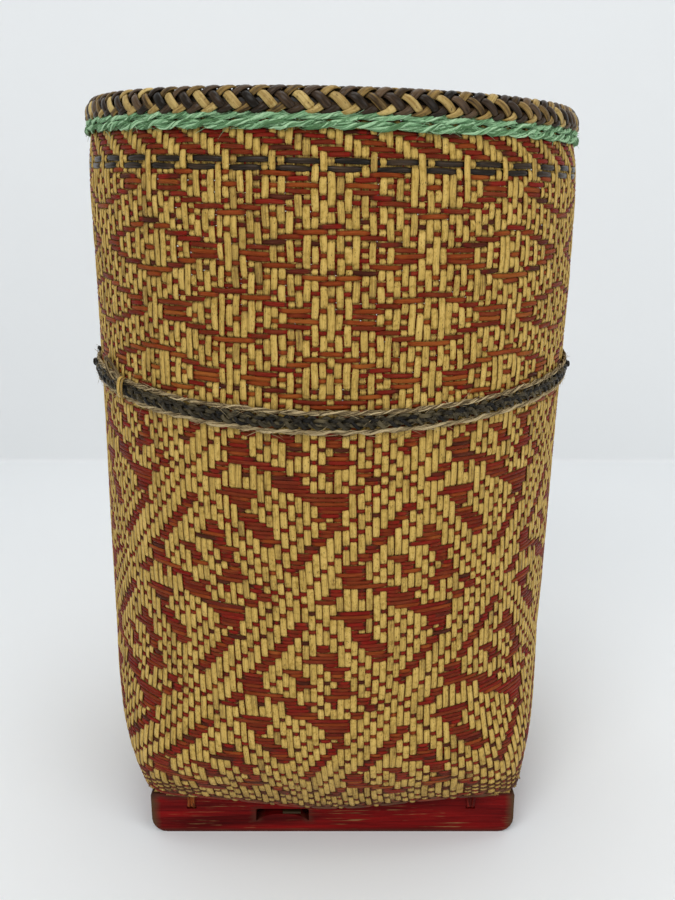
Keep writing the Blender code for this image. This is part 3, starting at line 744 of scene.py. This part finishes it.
cords = dict(
    green=dict(ply=.00108, twist=29, plies=2, fibres=7, fibreRadius=.00050, spin=1.7, out=.0016, loose=420),
    plain=dict(ply=.00066, twist=34, plies=2, fibres=6, fibreRadius=.00032, spin=1.5, out=.0014, loose=380),
    greenHeights=(.3766, .3729), steps=864, rough=.00018,
    # how far plies and fibres wander, the fibres' share of a ply, and how the cord is pressed flat
    plyWander=.35, fibreWander=.8, fibreShare=(.62, .12), pressed=.8, fibreSizes=(.8, 1.2),
    fibreTones=(.1, .9),
    # the dark plait of the belt: three strands, each a pair of splints that turn round each other
    plait=dict(turns=46, high=.0018, deep=.0009, apart=.00085, twist=2, pressed=.6, radius=.0019, flat=.58,
               out=.0015, rough=.00012, wander=.25, thick=(.50, .06), tones=(.1, .75), patchy=.25,
               steps=1080),
    beltCentre=.2525, beltSag=.0085, beltTilt=.0015, beltGap=.0045,
    # short ends that slip out of a cord
    fuzz=dict(steps=5, length=.0075, lengths=(.4, 1.3), around=.133, radius=.00016, lift=.0010,
              start=.0006, rise=(.0009, .0022), taper=.6, tones=(.2, .9)),
    wobbleWaves=6, wobbleTurns=(5, 90),
)


def beltHeight(angle):
    return cords["beltCentre"] - cords["beltSag"] * np.cos(angle) ** 2 + cords["beltTilt"] * np.sin(angle)


def ringWobble(angle, size):
    # a few random waves that close round the ring
    waves = cords["wobbleWaves"]
    return sum(size / waves ** .5 * np.sin(int(dice.integers(*cords["wobbleTurns"])) * angle + anyPhase())
               for _ in range(waves))


def looseFibres(count, height, out):
    fuzz = cords["fuzz"]
    bands = []
    for _ in range(count):
        t = np.linspace(0, 1, fuzz["steps"])
        root, way = dice.uniform(-np.pi, np.pi), dice.choice([-1, 1])
        angle = root + way * t * fuzz["length"] * dice.uniform(*fuzz["lengths"]) / fuzz["around"]
        rise = dice.normal(0, fuzz["rise"][0]) + t ** 1.5 * dice.normal(0, fuzz["rise"][1])
        off = out + fuzz["start"] + t ** 2 * abs(dice.normal(0, fuzz["lift"]))
        path = wallPoint(angle, height(angle) + rise, off)
        radius = fuzz["radius"] * (1 - fuzz["taper"] * t)
        bands.append(tubeBand(path, radius, 3, float(dice.uniform(*fuzz["tones"]))))
    return bands


def fibreCord(name, height, kind, material, node):
    # plies wound round each other, each of a few fibres that wander
    size = cords[kind]
    angle = np.linspace(-np.pi, np.pi, cords["steps"] + 1)
    high = height(angle) + ringWobble(angle, cords["rough"])
    bands = []
    for ply in range(size["plies"]):
        phase = size["twist"] * angle + 2 * np.pi * ply / size["plies"]
        phase = phase + ringWobble(angle, cords["plyWander"])
        for fibre in range(size["fibres"]):
            inner = round(size["twist"] * size["spin"]) * angle + 2 * np.pi * fibre / size["fibres"]
            inner = inner + ringWobble(angle, cords["fibreWander"])
            wide = size["ply"] * (cords["fibreShare"][0] + ringWobble(angle, cords["fibreShare"][1]))
            rise = size["ply"] * np.sin(phase) + wide * np.sin(inner)
            deep = size["ply"] * np.cos(phase) * cords["pressed"] + wide * np.cos(inner) * cords["pressed"]
            path = wallPoint(angle, high + rise, size["out"] + deep)
            bands.append(tubeRing(path, size["fibreRadius"] * dice.uniform(*cords["fibreSizes"]), 5,
                                  float(dice.uniform(*cords["fibreTones"]))))
    piece = bandsToMesh(name, bands, material, closeAlong=True, closeAcross=True)
    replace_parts(piece, node)
    fuzz = looseFibres(size["loose"], height, size["out"])
    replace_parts(bandsToMesh(name + "_fuzz", fuzz, material, closeAcross=True), node)


upperGreen, lowerGreen = cords["greenHeights"]
fibreCord("green_cord_top", lambda a: upperGreen + 0 * a, "green", greenRaffia,
          "green_cord_upper")
fibreCord("green_cord_below", lambda a: lowerGreen + 0 * a, "green", greenRaffia,
          "green_cord_lower")
fibreCord("belt_cord_top", lambda a: beltHeight(a) + cords["beltGap"], "plain", greyCord,
          "belt_cord_upper")
fibreCord("belt_cord_below", lambda a: beltHeight(a) - cords["beltGap"], "plain", greyCord,
          "belt_cord_lower")


def beltPlait():
    size = cords["plait"]
    angle = np.linspace(-np.pi, np.pi, size["steps"] + 1)
    bands = []
    for strand in range(3):
        phase = size["turns"] * angle + 2 * np.pi * strand / 3 + ringWobble(angle, size["wander"])
        for half in (-1, 1):
            pair = half * size["apart"] * np.cos(size["twist"] * phase)
            deep = half * size["apart"] * size["pressed"] * np.sin(size["twist"] * phase)
            path = wallPoint(angle, beltHeight(angle) + size["high"] * np.sin(phase) + pair,
                             size["out"] + size["deep"] * np.sin(2 * phase) + deep
                             + ringWobble(angle, size["rough"]))
            thick = size["radius"] * (size["thick"][0] + ringWobble(angle, size["thick"][1]))
            points, lay, tone = tubeRing(path, thick, 7, float(dice.uniform(*size["tones"])),
                                         flat=size["flat"])
            bands.append((points, lay, tone + ringWobble(angle, size["patchy"])[:, None]))
    piece = bandsToMesh("belt_plait", bands, blackSplint, closeAlong=True, closeAcross=True)
    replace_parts(piece, "belt_braid")


beltPlait()

ties = dict(
    radius=.1335,
    # the splint that is stitched over the belt, in two passes: shift, width and tone
    stitchAt=-52, passes=((0, .0028, .62), (.0034, .0016, .3)), stitchThickness=.0004,
    bend=1.5, rise=.0056, riseFrom=.0006, bow=.0046, bowFrom=.0002, bowPower=.35, taper=.25, lean=.0008,
    halfLength=.008,
    # the coiled end of the upper cord
    coilAt=-57.8, coilTurns=7, coilHalf=.0096, coilHigh=.0036, coilLean=.0040, coilRise=.0066,
    coilRadius=.00042, coilOut=.0010, coilBow=.0006, coilLayer=.0002,
    sizeSpread=.10, degreeSpread=.25, riseSpread=.0004, coilTones=(.1, .8),
    # overhand knots: degrees round the wall, rise over the belt, how far out, size
    knots=dict(left=[(-76, .0014, .0022, .0015), (-75, .0094, .0003, .0009)],
               right=[(76, .0012, .0026, .0012)]),
    knotRadius=.62, knotTone=.3, knotLoops=.6, knotDepth=.9, knotAcross=(.3, .5, .81),
)


def stitchPiece(at):
    bands = []
    for shift, width, tone in ties["passes"]:
        t = np.linspace(-1, 1, 15)
        rise = ties["rise"] * np.sin(t * ties["bend"]) + ties["riseFrom"]
        bow = ties["bow"] * np.maximum(np.cos(t * ties["bend"]), 0) ** ties["bowPower"] + ties["bowFrom"]
        across = np.linspace(-.5, .5, 4)[None, :] * width * (1 - ties["taper"] * t[:, None] ** 2)
        angle = at + (shift + across + ties["lean"] * t[:, None]) / ties["radius"]
        points = wallPoint(angle, beltHeight(at) + rise[:, None] + 0 * across, bow[:, None] + 0 * across)
        bands.append((points, layOut((t * ties["halfLength"])[:, None], across, shift), tone))
    stitch = bandsToMesh("stitch", bands, straw, ties["stitchThickness"])
    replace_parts(stitch, "belt_stitch")


def coilPiece(at):
    bands = []
    for turn in range(ties["coilTurns"]):
        t = np.linspace(0, 2 * np.pi, 41)
        size = 1 + dice.normal(0, ties["sizeSpread"])
        middle = math.radians(ties["coilAt"] + dice.normal(0, ties["degreeSpread"]))
        angle = middle + ties["coilHalf"] * size * np.cos(t) / ties["radius"]
        rise = ties["coilRise"] + ties["coilHigh"] * size * np.sin(t) - ties["coilLean"] * np.cos(t)
        rise = rise + dice.normal(0, ties["riseSpread"])
        out = ties["coilOut"] + ties["coilBow"] * abs(np.sin(t + turn)) + ties["coilLayer"] * turn
        path = wallPoint(angle, beltHeight(at) + rise, out)
        bands.append(tubeRing(path, ties["coilRadius"], 5, float(dice.uniform(*ties["coilTones"])),
                              sideways=np.array([0, 0, 1.])))
    coil = bandsToMesh("end_coil", bands, greyCord, closeAlong=True, closeAcross=True)
    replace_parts(coil, "belt_end_loop")


def knotPieces():
    t = np.linspace(0, 2 * np.pi, 73)
    loops = ties["knotLoops"]
    overhand = np.stack([np.sin(t) + loops * np.sin(2 * t), np.cos(t) - loops * np.cos(2 * t),
                         -ties["knotDepth"] * np.sin(3 * t)], -1)
    for side, places in ties["knots"].items():
        bands = []
        for degrees, rise, out, size in places:
            turn = math.radians(degrees)
            path = wallPoint(turn, beltHeight(turn) + rise, out) + size * overhand
            bands.append(tubeRing(path, size * ties["knotRadius"], 6, ties["knotTone"],
                                  sideways=np.array(ties["knotAcross"])))
        knob = bandsToMesh("knob_" + side, bands, blackSplint, closeAlong=True,
                           closeAcross=True)
        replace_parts(knob, "belt_knot_" + side)


stitchPiece(math.radians(ties["stitchAt"]))
coilPiece(math.radians(ties["stitchAt"]))
knotPieces()
print("cords wound")

# the woven floor

floor = dict(halfWidth=.1062, square=10.5, splints=58, width=.0034, middle=.02575, play=.00042,
             thickness=.0004, crown=.00012, margin=.001, shift=.0001, tone=(.42, .10), layer=.37,
             otherLayer=40)


def floorPieces():
    half = floor["halfWidth"]
    places = (np.arange(floor["splints"]) - (floor["splints"] - 1) / 2) * 2 * half / floor["splints"]
    bands = []
    for direction in (0, 1):
        sense = 1 if direction else -1
        for number, place in enumerate(places):
            end = half * (1 - abs(place / half) ** floor["square"]) ** (1 / floor["square"])
            crossed = np.flatnonzero(abs(places) < end - floor["margin"])
            along = np.concatenate([[-end], places[crossed], [end]])
            up = np.where((crossed + number * sense) % 4 < 2, 1, -1) * sense
            up = np.concatenate([up[:1], up, up[-1:]]) * floor["play"]
            across = np.array([-.5, 0, .5])[None, :] * floor["width"]
            crown = np.array([0, floor["crown"], 0])[None, :]
            height = floor["middle"] + up[:, None] + crown + floor["thickness"] / 2
            first = along[:, None] + 0 * across
            second = place + dice.normal(0, floor["shift"]) + across + 0 * along[:, None]
            spot = [first, second, height] if direction else [second[:, ::-1], first, height]
            lay = layOut(along[:, None], across, number * floor["layer"] + direction * floor["otherLayer"])
            bands.append((np.stack(spot, -1), lay, float(np.clip(dice.normal(*floor["tone"]), 0, 1))))
    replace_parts(bandsToMesh("floor_weave", bands, straw, floor["thickness"]), "floor_panel")


floorPieces()
print("floor woven")

# painted rails and their lashings

paintwork = dict(
    grainStretch=.035, grainScale=700., lineScale=1500., patchScale=38., fadeStretch=3, fadeScale=110.,
    paint=[(.25, (.060, .003, .003)), (.5, (.15, .004, .004)), (.75, (.24, .008, .006))],
    fade=[(.35, (.42, .38, .38)), (.5, (1, 1, 1)), (.66, (1.5, 1.2, 1.2))], fadeShare=.9,
    scratchLines=(.60, .70), scratchPatches=(.46, .62), scratchColour=(.36, .20, .075),
    # bare, dirty wood round the slot of the front rail
    slotX=.0280, slotZ=.0115, slotRough=(.012, -.006), slotOuter=(.0180, .0155), slotInner=(.0100, .0125),
    slotBand=(.0062, .0040, 0., .6), slotColour=(.075, .024, .014),
    # brown ends, and darker along the upper edge and along the foot
    longEnds=(.0985, .1030), shortEnds=(.0935, .0975), endRough=.006, endColour=(.085, .045, .022),
    topEdge=(.0255, .0295, 0., .8), topRough=.010, topColour=(.045, .018, .012),
    footEdge=(.0008, -.0006, 0., .7), footRough=.003, footColour=(.05, .022, .014),
    roughRange=(.3, .7, .62, .38), specular=.06, bump=.8, bumpDepth=.0005,
)


def paintedWood(name, alongX):
    # worn crimson paint over split wood, with ochre scratches along the grain
    material, shader = newMaterial(name)
    tree = material.node_tree
    place = addNode(tree, "TexCoord").outputs["Object"]
    axis = addNode(tree, "SeparateXYZ", i0=place).outputs

    def alongGrain(scale):
        return (scale, 1, 1) if alongX else (1, scale, 1)

    grained = addNode(tree, "Mapping", Vector=place, Scale=alongGrain(paintwork["grainStretch"])).outputs[0]
    grain = noise(tree, grained, paintwork["grainScale"], Detail=5., Roughness=.7)
    lines = noise(tree, grained, paintwork["lineScale"], Detail=2.)
    patchy = noise(tree, place, paintwork["patchScale"], Detail=4.)
    fade = noise(tree, grained, paintwork["fadeScale"], alongGrain(paintwork["fadeStretch"]), Detail=3.)
    paint = blend(tree, paintwork["fadeShare"], ramp(tree, grain, *paintwork["paint"]),
                  ramp(tree, fade, *paintwork["fade"]), "MULTIPLY")
    scratch = sums(tree, "MULTIPLY", spread(tree, lines, *paintwork["scratchLines"]),
                   spread(tree, patchy, *paintwork["scratchPatches"]))
    worn = blend(tree, scratch, paint, paintwork["scratchColour"])
    if alongX:
        rough = sums(tree, "MULTIPLY_ADD", lines, *paintwork["slotRough"])
        fromSlot = sums(tree, "ABSOLUTE", sums(tree, "ADD", axis[0], paintwork["slotX"]))
        away = sums(tree, "ADD", fromSlot, rough)
        fromMiddle = sums(tree, "ABSOLUTE", sums(tree, "SUBTRACT", axis[2], paintwork["slotZ"]))
        lower = sums(tree, "ADD", fromMiddle, rough)
        scuff = sums(tree, "MULTIPLY", spread(tree, away, *paintwork["slotOuter"]),
                     spread(tree, away, *paintwork["slotInner"]))
        scuff = sums(tree, "MULTIPLY", scuff, spread(tree, lower, *paintwork["slotBand"]))
        scuff = sums(tree, "MULTIPLY", scuff, sums(tree, "LESS_THAN", axis[1], 0.))
        worn = blend(tree, scuff, worn, paintwork["slotColour"])
    toEnd = sums(tree, "ABSOLUTE", axis[0 if alongX else 1])
    toEnd = sums(tree, "ADD", toEnd, sums(tree, "MULTIPLY", grain, paintwork["endRough"]))
    ends = spread(tree, toEnd, *paintwork["longEnds" if alongX else "shortEnds"])
    worn = blend(tree, ends, worn, paintwork["endColour"])
    upTo = sums(tree, "ADD", axis[2], sums(tree, "MULTIPLY", patchy, paintwork["topRough"]))
    worn = blend(tree, spread(tree, upTo, *paintwork["topEdge"]), worn, paintwork["topColour"])
    downTo = sums(tree, "SUBTRACT", axis[2], sums(tree, "MULTIPLY", grain, paintwork["footRough"]))
    worn = blend(tree, spread(tree, downTo, *paintwork["footEdge"]), worn, paintwork["footColour"])
    tree.links.new(worn, shader.inputs["Base Color"])
    tree.links.new(spread(tree, grain, *paintwork["roughRange"]), shader.inputs["Roughness"])
    shader.inputs["Specular IOR Level"].default_value = paintwork["specular"]
    rise = addNode(tree, "Bump", Height=sums(tree, "SUBTRACT", grain, scratch), Strength=paintwork["bump"],
                   Distance=paintwork["bumpDepth"])
    tree.links.new(rise.outputs[0], shader.inputs["Normal"])
    return material


longPaint = paintedWood("worn paint, front and back", True)
sidePaint = paintedWood("worn paint, sides", False)
railPaint = dict(front_rail=longPaint, back_rail=longPaint, left_rail=sidePaint, right_rail=sidePaint)
for name, node in nodes.items():
    if name in railPaint or "hoop" in name or name == "slot_splint":
        node.data.materials.clear()
        node.data.materials.append(railPaint.get(name, goldRattan))

lashing = dict(places=(-.0784, .0037, .0765), low=.0152, high=.0279, outer=.1024, inner=.0916, radius=.000864,
               flat=.6, shifts=(-.0014, .0001, .0015), sway=.0003, proud=.0003, bends=(.18, .5, .82),
               shades=(.92, .6, .25), shadeSpread=(-.12, .05),
               swayStep=1.7, strandStep=2)


def lashingPieces():
    # each tie is three splints side by side
    corners = [(lashing["outer"], lashing["low"]), (lashing["outer"], lashing["high"]),
               (lashing["inner"], lashing["high"]), (lashing["inner"], lashing["low"])]
    loop = []
    for (n0, z0), (n1, z1) in zip(corners, corners[1:] + corners[:1]):
        loop += [(n0 + (n1 - n0) * share, z0 + (z1 - z0) * share) for share in lashing["bends"]]
    loop = np.array(loop + loop[:1])
    for side, turn in (("front", 0), ("right", 1), ("back", 2), ("left", 3)):
        quarter = turn * math.pi / 2
        turnBack = np.array([[math.cos(quarter), -math.sin(quarter)],
                             [math.sin(quarter), math.cos(quarter)]])
        sideways = np.array([*(turnBack @ [1, 0]), 0.])
        for number, place in enumerate(lashing["places"]):
            bands = []
            for strand, shift in enumerate(lashing["shifts"]):
                steps = np.arange(len(loop)) * lashing["swayStep"]
                wave = np.sin(steps + strand * lashing["strandStep"] + number)
                aside = place + shift + lashing["sway"] * wave
                aside[-1] = aside[0]
                inward = -loop[:, 0] + (lashing["proud"] if strand == 1 else 0)
                path = np.concatenate([np.stack([aside, inward], -1) @ turnBack.T, loop[:, 1:]], 1)
                shade = lashing["shades"][number] + float(dice.uniform(*lashing["shadeSpread"]))
                bands.append(tubeRing(path, lashing["radius"], 6, shade, flat=lashing["flat"],
                                      sideways=sideways))
            piece = bandsToMesh("%s_tie_%d" % (side, number + 1), bands, tieSplint,
                                closeAlong=True, closeAcross=True)
            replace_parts(piece, "%s_lashing_%d" % (side, number + 1))


lashingPieces()
print("rails painted and lashed")

# stage, light and camera

stage = dict(floorSize=4., wallAt=.626, wallHeight=3., cove=.006, background=(.86, .88, .89), roughness=.8)


def buildStage():
    bm = bmesh.new()
    half, cove, wallAt = stage["floorSize"] / 2, stage["cove"], stage["wallAt"]
    outline = [(-half, 0), (wallAt - cove, 0)]
    for degrees in range(15, 91, 15):
        turn = math.radians(degrees)
        outline.append((wallAt - cove + cove * math.sin(turn), cove * (1 - math.cos(turn))))
    outline.append((wallAt, stage["wallHeight"]))
    edge = [bm.verts.new((-half, y, z)) for y, z in outline]
    lines = [bm.edges.new(pair) for pair in zip(edge, edge[1:])]
    swept = bmesh.ops.extrude_edge_only(bm, edges=lines)["geom"]
    moved = [part for part in swept if isinstance(part, bmesh.types.BMVert)]
    bmesh.ops.translate(bm, verts=moved, vec=(2 * half, 0, 0))
    bmesh.ops.recalc_face_normals(bm, faces=bm.faces[:])
    mesh = bpy.data.meshes.new("backdrop")
    bm.to_mesh(mesh)
    bm.free()
    mesh.shade_smooth()
    material, shader = newMaterial("pale backdrop")
    shader.inputs["Base Color"].default_value = (*stage["background"], 1)
    shader.inputs["Roughness"].default_value = stage["roughness"]
    mesh.materials.append(material)
    backdrop = bpy.data.objects.new("backdrop", mesh)
    bpy.context.scene.collection.objects.link(backdrop)


buildStage()

lights = dict(
    aim=(0, 0, .2),
    # place, size, power
    lamps={"key light": ((-.55, -1.1, 1.35), .9, 8), "fill light": ((.9, -.9, .8), 1.0, 4.2),
           "top light": ((0, .1, 1.8), 1.2, 7)},
    sky=(.96, .98, 1), skyStrength=.52,
)


def addLight(name, place, size, power):
    lamp = bpy.data.lights.new(name, "AREA")
    lamp.shape, lamp.size, lamp.energy = "DISK", size, power
    thing = bpy.data.objects.new(name, lamp)
    bpy.context.scene.collection.objects.link(thing)
    thing.location = place
    direction = np.array(lights["aim"]) - np.array(place)
    thing.rotation_euler = (math.acos(-direction[2] / np.linalg.norm(direction)), 0,
                            math.atan2(direction[1], direction[0]) - math.pi / 2)


for name, (place, size, power) in lights["lamps"].items():
    addLight(name, place, size, power)
world = bpy.data.worlds.new("studio")
bpy.context.scene.world = world
world.use_nodes = True
world.node_tree.nodes["Background"].inputs["Color"].default_value = (*lights["sky"], 1)
world.node_tree.nodes["Background"].inputs["Strength"].default_value = lights["skyStrength"]
bpy.context.scene.view_settings.view_transform = "Standard"

view = dict(place=(.0027, -.55, .3493), pitch=74.182, lens=37.57, sensor=36, nearest=.01)
camera = bpy.data.objects.new("camera", bpy.data.cameras.new("camera"))
bpy.context.scene.collection.objects.link(camera)
camera.location = view["place"]
camera.rotation_euler = (math.radians(view["pitch"]), 0, 0)
camera.data.sensor_fit = "VERTICAL"
camera.data.sensor_height = camera.data.sensor_width = view["sensor"]
camera.data.lens = view["lens"]
camera.data.clip_start = view["nearest"]
bpy.context.scene.camera = camera
print("stage lit")
